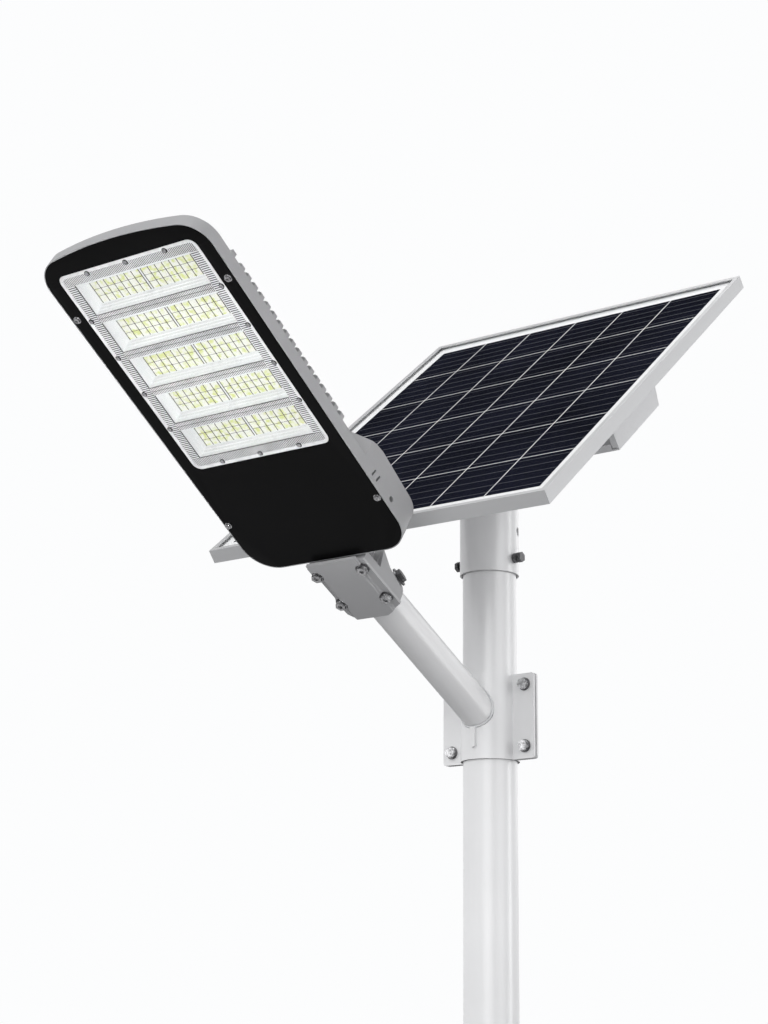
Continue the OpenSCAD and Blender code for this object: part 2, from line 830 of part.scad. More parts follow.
module junction_gland() {
    color("black") in_panel() translate([0, 190, -17]) rotate([90, 0, 0]) difference() {
        union() {
            translate([0, 0, -8]) cylinder(r = 6, h = 9);
            translate([0, 0, eps]) hex(15, 5);
            translate([0, 0, 5]) cylinder(r = 6, h = 9);
        }
        translate([0, 0, -10]) cylinder(r = 3.2, h = 40);
    }
}

module panel_tray() {
    floor_z = -tray_drop;
    depth = tray_drop - frame_t;
    rear_top = tray_rear + 0.33 * depth;
    lip_in = 7;
    toe = 10;
    notch = 4;
    color("silver") in_panel() difference() {
        union() {
            translate([-tray_half, tray_front, floor_z])
                cube([2 * tray_half, tray_rear - tray_front, tray_t]);
            for (y = [tray_front, tray_rear - tray_t])
                translate([-tray_half + lip_in + notch, y, floor_z])
                    cube([2 * (tray_half - lip_in - notch), tray_t, toe]);
            for (side = [-1, 1]) mirror([side > 0 ? 0 : 1, 0, 0]) {
                translate([tray_half - tray_t, 0, 0]) rotate([90, 0, 90]) linear_extrude(tray_t)
                    polygon([[tray_front, floor_z], [tray_rear, floor_z], [rear_top, -frame_t],
                        [tray_front + 5, -frame_t]]);
                translate([tray_half - tray_t - lip_in, tray_front, floor_z + notch])
                    cube([lip_in + tray_t, tray_t, depth - notch]);
                translate([tray_half - tray_t, tray_front + 5, -frame_t - tray_t])
                    cube([24, rear_top - tray_front - 5, tray_t - eps]);
            }
        }
        for (x = [-1, 1]) for (y = tray_bolt_y) translate([x * tray_bolt_x, y, -frame_t - 5])
            cylinder(r = 3.3, h = 8);
    }
}

module at_tray_bolts() {
    for (x = [-1, 1]) for (y = tray_bolt_y) in_panel() translate([x * tray_bolt_x, y, 0]) children();
}

module tray_bolts() {
    color("lightgray") at_tray_bolts() translate([0, 0, -frame_t - tray_t - eps]) rotate([180, 0, 0])
        flange_bolt(6, 10, 5, 6.5, 10);
}

module tray_nuts() {
    color("lightgray") at_tray_bolts() translate([0, 0, -frame_t + 1.6 + eps]) nut(6, 10, 5);
}

module below_tray(gap) {
    in_panel() translate([-100, -150, -tray_drop - gap]) cube([200, 300, 200]);
}

module sleeve() {
    color("gainsboro") difference() {
        translate([0, 0, sleeve_z]) cylinder(d = sleeve_d, h = 300);
        translate([0, 0, sleeve_z - 1]) cylinder(r = sleeve_d / 2 - 3, h = 302);
        below_tray(eps);
        for (spot = [[0, set_z, 4 + eps], [20, set_z + 42, 6.5]]) translate([0, 0, spot[1]])
            rotate([0, 0, spot[0]]) translate([-60, 0, 0]) rotate([0, 90, 0]) cylinder(r = spot[2], h = 120);
    }
}

module sleeve_weld() {
    leg = 4;
    color("gainsboro") difference() {
        translate([0, 0, sleeve_z + 60]) cylinder(r = sleeve_d / 2 + leg, h = 240);
        translate([0, 0, sleeve_z + 59]) cylinder(r = sleeve_d / 2 + eps, h = 242);
        below_tray(eps);
        in_panel() translate([-100, -250, -tray_drop - leg - 300]) cube([200, 400, 300]);
    }
}

module at_set_bolts() {
    for (turn = [0, 180]) rotate([0, 0, turn]) translate([sleeve_d / 2, 0, set_z]) rotate([0, 90, 0])
        children();
}

module set_bolts() {
    color("dimgray") at_set_bolts() translate([0, 0, 8.5]) flange_bolt(8, 13, 5.5, 7.2, 8.5 + 3.6);
}

module set_nuts() {
    color("dimgray") at_set_bolts() nut(8, 13, 6.5);
}

base_plate();
base_gussets();
pole_tube();
saddle_front();
saddle_back();
saddle_bolts();
saddle_washers();
saddle_nuts();
arm_tube();
arm_weld();
arm_gusset();
slip_fitter();
clamp_cap();
clamp_bolts();
clamp_washers();
lock_bolt();
tilt_bolt();
tilt_nut();
housing();
cover_plate();
cover_gasket();
cover_screws();
lens();
lens_gasket();
lens_screws();
reflector(0);  // reflector_1
reflector(1);  // reflector_2
reflector(2);  // reflector_3
reflector(3);  // reflector_4
reflector(4);  // reflector_5
led_board(0);  // led_board_1
led_board(1);  // led_board_2
led_board(2);  // led_board_3
led_board(3);  // led_board_4
led_board(4);  // led_board_5
led_chips();
battery_cells();
cell_brackets();
cell_busbars();
controller_board();
controller_parts();
head_gland();
frame_front();
frame_rear();
frame_left();
frame_right();
panel_glass();
solar_cells();
backsheet();
junction_box();
junction_lid();
junction_gland();
panel_tray();
tray_bolts();
tray_nuts();
sleeve();
sleeve_weld();
set_bolts();
set_nuts();
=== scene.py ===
# Solar street lamp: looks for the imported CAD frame. Metres, +Z up, the arm and the head point towards -Y.
import json
import math

import bpy
import numpy as np
from mathutils import Matrix, Vector


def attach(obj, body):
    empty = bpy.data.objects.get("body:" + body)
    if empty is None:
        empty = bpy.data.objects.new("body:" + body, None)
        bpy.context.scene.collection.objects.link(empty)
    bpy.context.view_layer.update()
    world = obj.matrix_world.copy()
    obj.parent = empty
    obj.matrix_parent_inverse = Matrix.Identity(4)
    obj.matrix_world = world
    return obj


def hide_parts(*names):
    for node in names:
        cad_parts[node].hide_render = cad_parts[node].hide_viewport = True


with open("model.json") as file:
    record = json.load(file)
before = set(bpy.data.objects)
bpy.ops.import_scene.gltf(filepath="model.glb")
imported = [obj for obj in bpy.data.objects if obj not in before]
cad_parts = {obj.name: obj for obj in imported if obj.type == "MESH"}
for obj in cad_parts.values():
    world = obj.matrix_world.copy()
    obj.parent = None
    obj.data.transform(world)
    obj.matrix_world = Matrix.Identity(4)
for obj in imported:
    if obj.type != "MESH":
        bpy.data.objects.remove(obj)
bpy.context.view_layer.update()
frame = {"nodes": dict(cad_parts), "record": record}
nodes = frame["nodes"]
MM = 0.001
NOISE_SPAN = (0.3, 0.7)  # the part of a noise texture's output that carries its pattern
WELD_GAP = 0.000002


# ---------- local spaces of the tilted parts ----------

class Space:
    """The frame of a thin flat node: x is world X, y runs up its slope, z is its outward face normal."""

    def __init__(self, node):
        points = self.points(node)
        spread = np.cov(points[:, 1:].T)
        values, vectors = np.linalg.eigh(spread)
        slope = vectors[:, 1] * (1.0 if vectors[1, 1] > 0 else -1.0)
        x = np.array([1.0, 0.0, 0.0])
        y = np.array([0.0, slope[0], slope[1]])
        self.axes = np.array([x, y, np.cross(x, y)])
        self.angle = math.atan2(slope[1], slope[0])

    def points(self, node):
        return np.array([nodes[node].matrix_world @ v.co for v in nodes[node].data.vertices])

    def box(self, node):
        local = self.points(node) @ self.axes.T
        return Vector(local.min(axis=0)), Vector(local.max(axis=0))

    def world(self, point):
        return Vector(np.array(point) @ self.axes)


head = Space("lens")
panel = Space("panel_glass")


# ---------- materials ----------

class Paint:
    """A node material under construction. Coordinates are metres in the frame."""

    def __init__(self, name):
        self.material = bpy.data.materials.new(name)
        self.material.use_nodes = True
        self.tree = self.material.node_tree
        self.shader = self.tree.nodes["Principled BSDF"]
        self.coords = self.tree.nodes.new("ShaderNodeTexCoord").outputs["Object"]

    def link(self, output, target):
        self.tree.links.new(output, target)
        return self

    def turned(self, angle, stretch=(1.0, 1.0, 1.0)):
        mapping = self.tree.nodes.new("ShaderNodeMapping")
        mapping.vector_type = "TEXTURE"
        mapping.inputs["Rotation"].default_value = (angle, 0.0, 0.0)
        mapping.inputs["Scale"].default_value = stretch
        self.link(self.coords, mapping.inputs["Vector"])
        self.coords = mapping.outputs["Vector"]
        return self

    def noise(self, scale, detail=3.0, rough=0.5):
        node = self.tree.nodes.new("ShaderNodeTexNoise")
        node.inputs["Scale"].default_value = scale
        node.inputs["Detail"].default_value = detail
        node.inputs["Roughness"].default_value = rough
        self.link(self.coords, node.inputs["Vector"])
        return node.outputs["Fac"]

    def cells(self, scale):
        node = self.tree.nodes.new("ShaderNodeTexVoronoi")
        node.inputs["Scale"].default_value = scale
        self.link(self.coords, node.inputs["Vector"])
        return node.outputs["Color"]

    def lines(self, scale, direction, distortion=0.0):
        node = self.tree.nodes.new("ShaderNodeTexWave")
        node.bands_direction = direction
        node.inputs["Scale"].default_value = scale
        node.inputs["Distortion"].default_value = distortion
        node.inputs["Detail Scale"].default_value = 2.0
        self.link(self.coords, node.inputs["Vector"])
        return node.outputs["Fac"]

    def ramp(self, source, low, high, start=0.0, end=1.0):
        node = self.tree.nodes.new("ShaderNodeValToRGB")
        node.color_ramp.elements[0].position = start
        node.color_ramp.elements[0].color = (*low, 1.0)
        node.color_ramp.elements[1].position = end
        node.color_ramp.elements[1].color = (*high, 1.0)
        self.link(source, node.inputs["Fac"])
        return node.outputs["Color"]

    def remap(self, source, low, high, start=NOISE_SPAN[0], end=NOISE_SPAN[1]):
        node = self.tree.nodes.new("ShaderNodeMapRange")
        node.inputs["From Min"].default_value = start
        node.inputs["From Max"].default_value = end
        node.inputs["To Min"].default_value = low
        node.inputs["To Max"].default_value = high
        self.link(source, node.inputs["Value"])
        return node.outputs["Result"]

    def mix(self, one, other, factor, blend="MIX"):
        node = self.tree.nodes.new("ShaderNodeMix")
        node.data_type = "RGBA"
        node.blend_type = blend
        sockets = [s for s in node.inputs if s.type == "RGBA"]
        for source, target in zip((one, other), sockets):
            if isinstance(source, tuple):
                target.default_value = (*source, 1.0)
            else:
                self.link(source, target)
        if isinstance(factor, float):
            node.inputs[0].default_value = factor
        else:
            self.link(factor, node.inputs[0])
        return [s for s in node.outputs if s.type == "RGBA"][0]

    def colour(self, base, spread, scale):
        """The base colour, made cloudy by spread at the given scale."""
        dark = tuple(c * (1.0 - spread) for c in base)
        light = tuple(min(1.0, c * (1.0 + spread)) for c in base)
        self.link(self.ramp(self.noise(scale), dark, light, *NOISE_SPAN), self.shader.inputs["Base Color"])
        return self

    def rough(self, low, high, scale):
        self.link(self.remap(self.noise(scale, 4.0), low, high), self.shader.inputs["Roughness"])
        return self

    def bump(self, source, depth, strength=1.0):
        node = self.tree.nodes.new("ShaderNodeBump")
        node.inputs["Distance"].default_value = depth
        node.inputs["Strength"].default_value = strength
        self.link(source, node.inputs["Height"])
        below = self.shader.inputs["Normal"].links
        if below:
            self.link(below[0].from_socket, node.inputs["Normal"])
        self.link(node.outputs["Normal"], self.shader.inputs["Normal"])
        return self

    def set(self, **values):
        for key, value in values.items():
            self.shader.inputs[key.replace("_", " ")].default_value = value
        return self


def powder_coat(name, base, low=0.3, high=0.42, peel=0.00003, peel_scale=700.0, metal=0.0, cloud=0.03):
    paint = Paint(name).set(Metallic=metal).colour(base, cloud, 5.0).rough(low, high, 6.0)
    paint.bump(paint.noise(peel_scale, 2.0), peel)
    return paint


def pole_paint():
    """The pole's powder coat. Faces that point straight down, such as the sleeve's lower edge, are painted
    dark: this is painted shade.
    """
    straight_down, nearly_down = -0.99, -0.94
    paint = powder_coat("pole_paint", POLE_WHITE, 0.3, 0.36, 0.000004, 500.0, metal=0.15)
    split = paint.tree.nodes.new("ShaderNodeSeparateXYZ")
    texture = paint.tree.nodes.new("ShaderNodeTexCoord")
    paint.link(texture.outputs["Normal"], split.inputs[0])
    # Painted shade: this mask picks the faces that point straight down, and they get the dark colour below.
    underside = paint.remap(split.outputs["Z"], 1.0, 0.0, straight_down, nearly_down)
    coat = paint.shader.inputs["Base Color"].links[0].from_socket
    dark = paint.ramp(paint.noise(300.0), (0.05, 0.05, 0.052), (0.09, 0.09, 0.092), *NOISE_SPAN)
    paint.link(paint.mix(coat, dark, underside), paint.shader.inputs["Base Color"])
    return paint.material


def bright_steel(name, base, low, high, cloud=0.12):
    paint = Paint(name).set(Metallic=1.0).colour(base, cloud, 330.0).rough(low, high, 400.0)
    paint.bump(paint.noise(1800.0, 3.0), 0.00002)
    return paint.material


def plain_plastic(name, base, low, high, grain=0.00002, cloud=0.08):
    paint = Paint(name).colour(base, cloud, 40.0).rough(low, high, 90.0)
    paint.bump(paint.noise(1500.0, 2.0), grain)
    return paint.material


def galvanised():
    paint = Paint("galvanised_steel").set(Metallic=0.7)
    spangle = paint.cells(130.0)
    paint.link(
        paint.mix(paint.ramp(paint.noise(9.0), (0.5, 0.51, 0.53), (0.64, 0.65, 0.67), *NOISE_SPAN),
                  paint.ramp(spangle, (0.42, 0.43, 0.45), (0.72, 0.73, 0.75)), 0.45),
        paint.shader.inputs["Base Color"])
    paint.rough(0.38, 0.55, 60.0).bump(paint.noise(500.0), 0.00003)
    return paint.material


def weld_paint():
    paint = Paint("weld_paint").colour((0.78, 0.79, 0.8), 0.05, 60.0).rough(0.3, 0.45, 80.0)
    paint.bump(paint.noise(260.0, 3.0), 0.0012).bump(paint.noise(900.0), 0.0001)
    return paint.material


def anodised():
    paint = Paint("anodised").turned(panel.angle, (12.0, 12.0, 1.0)).set(Metallic=0.35)
    paint.colour((0.65, 0.655, 0.662), 0.03, 6.0).rough(0.28, 0.4, 300.0)
    paint.bump(paint.noise(1500.0, 2.0), 0.000002)
    return paint.material


def black_gloss():
    paint = Paint("black_plate").colour((0.0026, 0.0026, 0.0028), 0.3, 7.0).rough(0.3, 0.4, 18.0)
    paint.set(**{"Specular_IOR_Level": 0.1})
    paint.bump(paint.noise(900.0, 2.0), 0.00001).bump(paint.noise(6.0, 2.0), 0.0006, 0.3)
    return paint.material


def silicon():
    paint = Paint("cell_silicon").turned(panel.angle)
    fingers = paint.lines(90.0, "X")
    tone = paint.ramp(paint.noise(5.0, 4.0), (0.004, 0.0047, 0.0088), (0.0085, 0.0096, 0.0185), *NOISE_SPAN)
    paint.link(paint.mix(tone, (0.022, 0.024, 0.031), paint.remap(fingers, 0.0, 0.2, 0.86, 1.0)),
               paint.shader.inputs["Base Color"])
    paint.rough(0.5, 0.6, 60.0).bump(fingers, 0.00001).set(**{"Specular_IOR_Level": 0.0})
    return paint.material


def clear_sheet(name, tint, gloss_low, gloss_high, sheen_low, sheen_high, haze=0.0):
    """A thin clear sheet: light goes straight through, with a faint haze and a sheen that grows edge on."""
    edge_power = 5.0
    paint = Paint(name).rough(gloss_low, gloss_high, 25.0)
    tree = paint.tree
    paint.shader.inputs["Base Color"].default_value = (*tint, 1.0)
    clear = tree.nodes.new("ShaderNodeBsdfTransparent")
    clear.inputs["Color"].default_value = (*tint, 1.0)
    sheen = tree.nodes.new("ShaderNodeBsdfGlossy")
    paint.link(paint.remap(paint.noise(25.0), gloss_low, gloss_high), sheen.inputs["Roughness"])
    facing = tree.nodes.new("ShaderNodeLayerWeight")
    facing.inputs["Blend"].default_value = 0.5
    steep = tree.nodes.new("ShaderNodeMath")
    steep.operation = "POWER"
    steep.inputs[1].default_value = edge_power
    paint.link(facing.outputs["Facing"], steep.inputs[0])
    amount = paint.remap(steep.outputs[0], sheen_low, sheen_high, 0.0, 1.0)
    ripple = tree.nodes.new("ShaderNodeBump")
    ripple.inputs["Distance"].default_value = 0.0002
    ripple.inputs["Strength"].default_value = 0.3
    paint.link(paint.noise(12.0, 2.0), ripple.inputs["Height"])
    paint.link(ripple.outputs["Normal"], sheen.inputs["Normal"])
    hazy = tree.nodes.new("ShaderNodeMixShader")
    hazy.inputs["Fac"].default_value = haze
    paint.link(clear.outputs[0], hazy.inputs[1])
    paint.link(paint.shader.outputs[0], hazy.inputs[2])
    surface = tree.nodes.new("ShaderNodeMixShader")
    paint.link(amount, surface.inputs["Fac"])
    paint.link(hazy.outputs[0], surface.inputs[1])
    paint.link(sheen.outputs[0], surface.inputs[2])
    paint.link(surface.outputs[0], tree.nodes["Material Output"].inputs["Surface"])
    return paint.material


def reflector_white():
    paint = Paint("reflector_white").colour((0.93, 0.931, 0.933), 0.02, 30.0).rough(0.25, 0.38, 50.0)
    paint.bump(paint.noise(420.0, 2.0), 0.0001, 0.4)
    return paint.material


def phosphor():
    paint = Paint("phosphor")
    patch = paint.noise(130.0, 2.0)
    tone = paint.ramp(patch, (0.92, 0.91, 0.83), (0.74, 0.78, 0.3), 0.46, 0.66)
    paint.link(tone, paint.shader.inputs["Base Color"])
    paint.rough(0.25, 0.4, 200.0).bump(paint.noise(700.0), 0.0001)
    return paint.material


def circuit_green():
    paint = Paint("board_green").colour((0.02, 0.14, 0.05), 0.15, 120.0).rough(0.3, 0.42, 100.0)
    paint.bump(paint.cells(350.0), 0.00004)
    return paint.material


POLE_WHITE = (0.84, 0.843, 0.848)
slots = {
    "galvanised_steel": galvanised(),
    "pole_paint": pole_paint(),
    "tray_paint": powder_coat("tray_paint", (0.72, 0.725, 0.735), 0.32, 0.44).material,
    "cast_grey": powder_coat("cast_grey", (0.36, 0.362, 0.37), 0.4, 0.52, 0.00006, 1100.0).material,
    "cap_grey": powder_coat("cap_grey", (0.45, 0.452, 0.46), 0.38, 0.5, 0.00006, 1100.0).material,
    # The stainless steel's wide colour spread is painted reflection: dark and bright patches that stand in for
    # what polished steel reflects.
    "stainless": bright_steel("stainless", (0.66, 0.66, 0.67), 0.04, 0.14, 0.5),
    "zinc_washer": bright_steel("zinc_washer", (0.16, 0.16, 0.165), 0.25, 0.45),
    "black_plate": black_gloss(),
    "gasket": plain_plastic("gasket", (0.02, 0.02, 0.02), 0.6, 0.8),
    "reflector_white": reflector_white(),
    "board_white": plain_plastic("board_white", (0.84, 0.85, 0.84), 0.4, 0.55),
    "phosphor": phosphor(),
    "cell_wrap": plain_plastic("cell_wrap", (0.03, 0.08, 0.34), 0.2, 0.35),
    "dark_plastic": plain_plastic("dark_plastic", (0.035, 0.035, 0.04), 0.45, 0.6),
    "board_green": circuit_green(),
    "anodised": anodised(),
    "panel_glass": clear_sheet("panel_glass", (0.985, 0.987, 0.987), 0.05, 0.12, 0.002, 0.03),
    "cell_silicon": silicon(),
    "backsheet": plain_plastic("backsheet", (0.92, 0.92, 0.925), 0.4, 0.5, cloud=0.03),
}
lens_pane = clear_sheet("lens_pane", (0.98, 0.985, 0.985), 0.04, 0.1, 0.02, 0.5, 0.04)
lens_frame = plain_plastic("lens_frame", (0.74, 0.745, 0.75), 0.2, 0.35, 0.00001, 0.05)
lens_rib = plain_plastic("lens_rib", (0.8, 0.805, 0.81), 0.12, 0.25, 0.00001, 0.1)
# This dark copy of the lens plastic is painted shade in the valleys between the lens ribs.
lens_groove_shade = plain_plastic("lens_groove_shade", (0.06, 0.06, 0.064), 0.3, 0.5, 0.00001, 0.3)
weld = weld_paint()
slots["lens_clear"] = lens_pane


DRESS_ANGLE = 32  # edges sharper than this many degrees are rounded on CAD nodes
PIECE_ANGLE = 25  # and on pieces made here


def finish_of(node_name):
    rows = [row for row in frame["record"]["subparts"] if row["node"] == node_name]
    return rows[0]["material_slot"] if rows else None


def dress(name, material, bevel):
    """Gives a CAD node its material, rounded edges (mm) and smooth shading. Its own mesh stays as it is."""
    obj = nodes[name]
    obj.data.materials.clear()
    obj.data.materials.append(material)
    for face in obj.data.polygons:
        face.use_smooth = True
        face.material_index = 0
    joined = obj.modifiers.new("joined", "WELD")
    joined.merge_threshold = WELD_GAP
    if bevel:
        rounded = obj.modifiers.new("rounded", "BEVEL")
        rounded.width = bevel * MM
        rounded.segments = 2
        rounded.limit_method = "ANGLE"
        rounded.angle_limit = math.radians(DRESS_ANGLE)
        rounded.use_clamp_overlap = True
    even = obj.modifiers.new("even", "WEIGHTED_NORMAL")
    even.keep_sharp = True
    even.weight = 100


# Edge rounding in millimetres. Nodes that aren't named here keep sharp edges.
EDGES = {
    "housing": 0.8, "clamp_cap": 0.7, "slip_fitter": 0.8, "saddle_front": 0.6, "saddle_back": 0.6,
    "panel_tray": 0.35, "pole_tube": 0.4, "base_plate": 1.2, "base_gussets": 0.8,
    "arm_gusset": 1.2, "frame_front": 0.3, "frame_rear": 0.3, "frame_left": 0.3, "frame_right": 0.3,
    "saddle_bolts": 0.6, "saddle_nuts": 0.5, "clamp_bolts": 0.6, "lock_bolt": 0.7,
    "set_bolts": 0.6, "set_nuts": 0.6, "tilt_bolt": 0.6, "tilt_nut": 0.5, "cover_screws": 0.35,
    "lens_screws": 0.4, "saddle_washers": 0.2, "clamp_washers": 0.2, "tray_bolts": 0.4, "tray_nuts": 0.4,
    "junction_box": 1.0, "junction_lid": 0.8, "arm_tube": 0.3, "controller_parts": 0.4, "battery_cells": 1.2,
}
# Weld beads and the dark lock bolt don't look like the rest of their slot.
OWN_FINISH = {"arm_weld": weld, "sleeve_weld": weld, "lock_bolt": slots["zinc_washer"]}
for node_name in nodes:
    finish = OWN_FINISH.get(node_name, slots[finish_of(node_name)])
    dress(node_name, finish, EDGES.get(node_name, 0.0))


# ---------- pieces ----------

class Shape:
    """Collects faces in a local space and makes one mesh piece of them."""

    def __init__(self, space):
        self.space = space
        self.points = []
        self.faces = []

    def loop(self, ring):
        first = len(self.points)
        self.points.extend(ring)
        return list(range(first, len(self.points)))

    def bridge(self, one, other):
        count = len(one)
        for i in range(count):
            j = (i + 1) % count
            self.faces.append((one[i], one[j], other[j], other[i]))

    def block(self, low, high):
        (x0, y0, z0), (x1, y1, z1) = low, high
        base = self.loop([(x0, y0, z0), (x1, y0, z0), (x1, y1, z0), (x0, y1, z0)])
        top = self.loop([(x0, y0, z1), (x1, y0, z1), (x1, y1, z1), (x0, y1, z1)])
        self.bridge(base, top)
        self.faces.append(tuple(reversed(base)))
        self.faces.append(tuple(top))

    def ridges(self, low, high, base, peak, pitch, along):
        """Fills a rectangle with three-sided ridges that run along x or y, with flat ground between them."""
        foot, crest = 0.22, 0.5
        cross = 1 - along
        count = max(1, round((high[cross] - low[cross]) / pitch))
        step = (high[cross] - low[cross]) / count
        for k in range(count):
            start = low[cross] + k * step
            corners = []
            for end in (low[along], high[along]):
                for offset, level in ((foot, base), (1.0 - foot, base), (crest, peak)):
                    spot = [0.0, 0.0, level]
                    spot[along] = end
                    spot[cross] = start + offset * step
                    corners.append(tuple(spot))
            a, b, c, d, e, f = self.loop(corners)
            self.faces += [(a, b, c), (d, f, e), (a, c, f, d), (c, b, e, f), (b, a, d, e)]

    def piece(self, name, material, body, slot, replaced=(), smooth=None, bevel=0.0):
        mesh = bpy.data.meshes.new(name)
        mesh.from_pydata([self.space.world(p) for p in self.points], [], self.faces)
        mesh.update()
        mesh.materials.append(material)
        obj = bpy.data.objects.new(name, mesh)
        bpy.context.scene.collection.objects.link(obj)
        tidy = obj.modifiers.new("joined", "WELD")
        tidy.merge_threshold = WELD_GAP
        if bevel:
            rounded = obj.modifiers.new("rounded", "BEVEL")
            rounded.width = bevel * MM
            rounded.segments = 2
            rounded.limit_method = "ANGLE"
            rounded.angle_limit = math.radians(PIECE_ANGLE)
        if smooth:
            mesh.polygons.foreach_set("use_smooth", [True] * len(mesh.polygons))
            mesh.set_sharp_from_angle(angle=math.radians(smooth))
        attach(obj, body)
        if replaced:
            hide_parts(*replaced)
        return obj


def round_rect(x0, x1, y0, y1, radius, level, steps=6):
    ring = []
    for cx, cy, start in ((x1 - radius, y1 - radius, 0), (x0 + radius, y1 - radius, 90),
                          (x0 + radius, y0 + radius, 180), (x1 - radius, y0 + radius, 270)):
        for k in range(steps + 1):
            turn = math.radians(start + 90 * k / steps)
            ring.append((cx + radius * math.cos(turn), cy + radius * math.sin(turn), level))
    return ring


lens_low, lens_high = head.box("lens")
tray_boxes = [head.box("reflector_%d" % (k + 1)) for k in range(5)]
tray_middles = sorted((low.y + high.y) / 2 for low, high in tray_boxes)
BORDER = 5.0 * MM  # the lens's smooth outer border
BAND = 12.0 * MM  # the ribbed band inside it
SPLIT = 5.6 * MM  # half of the ribbed band between two windows
face_z = lens_high.z
groove_z = face_z - 0.9 * MM


def lens_border():
    shape = Shape(head)
    x0, x1, y0, y1 = lens_low.x, lens_high.x, lens_low.y, lens_high.y
    radius = 11.7 * MM
    soft = 0.6 * MM

    def ring(inset, level):
        return shape.loop(round_rect(x0 + inset, x1 - inset, y0 + inset, y1 - inset,
                                     max(radius - inset, 2.5 * MM), level))

    rings = [ring(0, lens_low.z), ring(0, face_z - soft), ring(soft, face_z), ring(BORDER - soft, face_z),
             ring(BORDER, face_z - soft), ring(BORDER, lens_low.z)]
    for k in range(len(rings)):
        shape.bridge(rings[k], rings[(k + 1) % len(rings)])
    shape.piece("lens_border", lens_frame, "head", "lens_clear", ("lens",), smooth=40)


def window_spans():
    """The clear windows along y, between the ribbed bands."""
    splits = [(a + b) / 2 for a, b in zip(tray_middles, tray_middles[1:])]
    starts = [lens_low.y + BORDER + BAND] + [s + SPLIT for s in splits]
    ends = [s - SPLIT for s in splits] + [lens_high.y - BORDER - BAND]
    return list(zip(starts, ends)), splits


def lens_ribs():
    grooves, ribs = Shape(head), Shape(head)
    x0, x1 = lens_low.x + BORDER, lens_high.x - BORDER
    y0, y1 = lens_low.y + BORDER, lens_high.y - BORDER
    peak = face_z - 0.15 * MM
    floor = lens_low.z + 0.3 * MM
    fine, coarse = 2.5 * MM, 2.9 * MM
    parting_line = 0.45 * MM

    def band(low, high, pitch, along, parting=0.0):
        """A comb of short ribs across a strip, in two halves where the strip has a parting line."""
        # Painted shade: a dark block under the ribs, which shows between them.
        grooves.block((*low, floor), (*high, groove_z))
        middle = (low[along] + high[along]) / 2
        halves = ((low[along], middle - parting), (middle + parting, high[along]))
        for near, far in halves if parting else ((low[along], high[along]),):
            start, end = list(low), list(high)
            start[along], end[along] = near, far
            ribs.ridges(start, end, groove_z, peak, pitch, along)

    for near, far in ((y0, y0 + BAND), (y1 - BAND, y1)):
        band((x0, near), (x1, far), fine, 1)
    for near, far in ((x0, x0 + BAND), (x1 - BAND, x1)):
        band((near, y0 + BAND), (far, y1 - BAND), coarse, 0)
    for split in window_spans()[1]:
        band((x0 + BAND, split - SPLIT), (x1 - BAND, split + SPLIT), fine, 1, parting_line)
    grooves.piece("lens_grooves", lens_groove_shade, "head", "lens_clear", ("lens",))
    ribs.piece("lens_ribs", lens_rib, "head", "lens_clear", ("lens",))


def screw_shade_rings():
    """Painted shade: dark rings round the lens screws."""
    shape = Shape(head)
    inset, side_x, row_x = 5.5 * MM, 104.5 * MM, 62 * MM
    outer, inner, below, above = 3.7 * MM, 1.7 * MM, -0.2 * MM, 0.08 * MM
    turns = [k * math.tau / 24 for k in range(24)]
    spots = [(x, y) for x in (-row_x, 0, row_x) for y in (lens_low.y + inset, lens_high.y - inset)]
    spots += [(side * side_x, y) for side in (-1, 1) for y in window_spans()[1]]
    for x, y in spots:
        rings = [shape.loop([(x + r * math.cos(t), y + r * math.sin(t), face_z + z) for t in turns])
                 for r, z in ((outer, below), (outer, above), (inner, above), (inner, below))]
        for a, b in zip(rings, rings[1:] + rings[:1]):
            shape.bridge(a, b)
    shape.piece("lens_screw_shade_rings", slots["gasket"], "head", "gasket")


def lens_panes():
    shape = Shape(head)
    x0, x1 = lens_low.x + BORDER + BAND, lens_high.x - BORDER - BAND
    for start, end in window_spans()[0]:
        shape.block((x0, start, lens_low.z + 0.6 * MM), (x1, end, groove_z))
    shape.piece("lens_panes", lens_pane, "head", "lens_clear", ("lens",))


def trays():
    """Each reflector: a flat rim, then stepped long walls and smooth end walls down to the board."""
    steps = 3
    mouth_x, mouth_y = 92 * MM, 22.5 * MM
    throat_x, throat_y = 82.5 * MM, 15.6 * MM
    tread = 1.1 * MM
    for k in range(5):
        low, high = tray_boxes[k]
        shape = Shape(head)
        mid_x, mid_y = (low.x + high.x) / 2, (low.y + high.y) / 2
        outer_x, outer_y = (high.x - low.x) / 2, (high.y - low.y) / 2

        def ring(half_x, half_y, level):
            return shape.loop(round_rect(mid_x - half_x, mid_x + half_x, mid_y - half_y, mid_y + half_y,
                                         1.2 * MM, level, 2))

        rings = [ring(outer_x, outer_y, low.z), ring(outer_x, outer_y, high.z), ring(mouth_x, mouth_y, high.z)]
        for step in range(steps):
            share = (step + 1) / steps
            level = high.z - share * (high.z - low.z)
            half_x = mouth_x + share * (throat_x - mouth_x)
            half_y = mouth_y + share * (throat_y - mouth_y)
            rings.append(ring(half_x + tread / 2, half_y + tread, level))
            if step < steps - 1:
                rings.append(ring(half_x, half_y, level))
        for a, b in zip(rings, rings[1:] + rings[:1]):
            shape.bridge(a, b)
        shape.piece("tray_%d" % (k + 1), slots["reflector_white"], "head", "reflector_white",
                    ("reflector_%d" % (k + 1),), smooth=20)


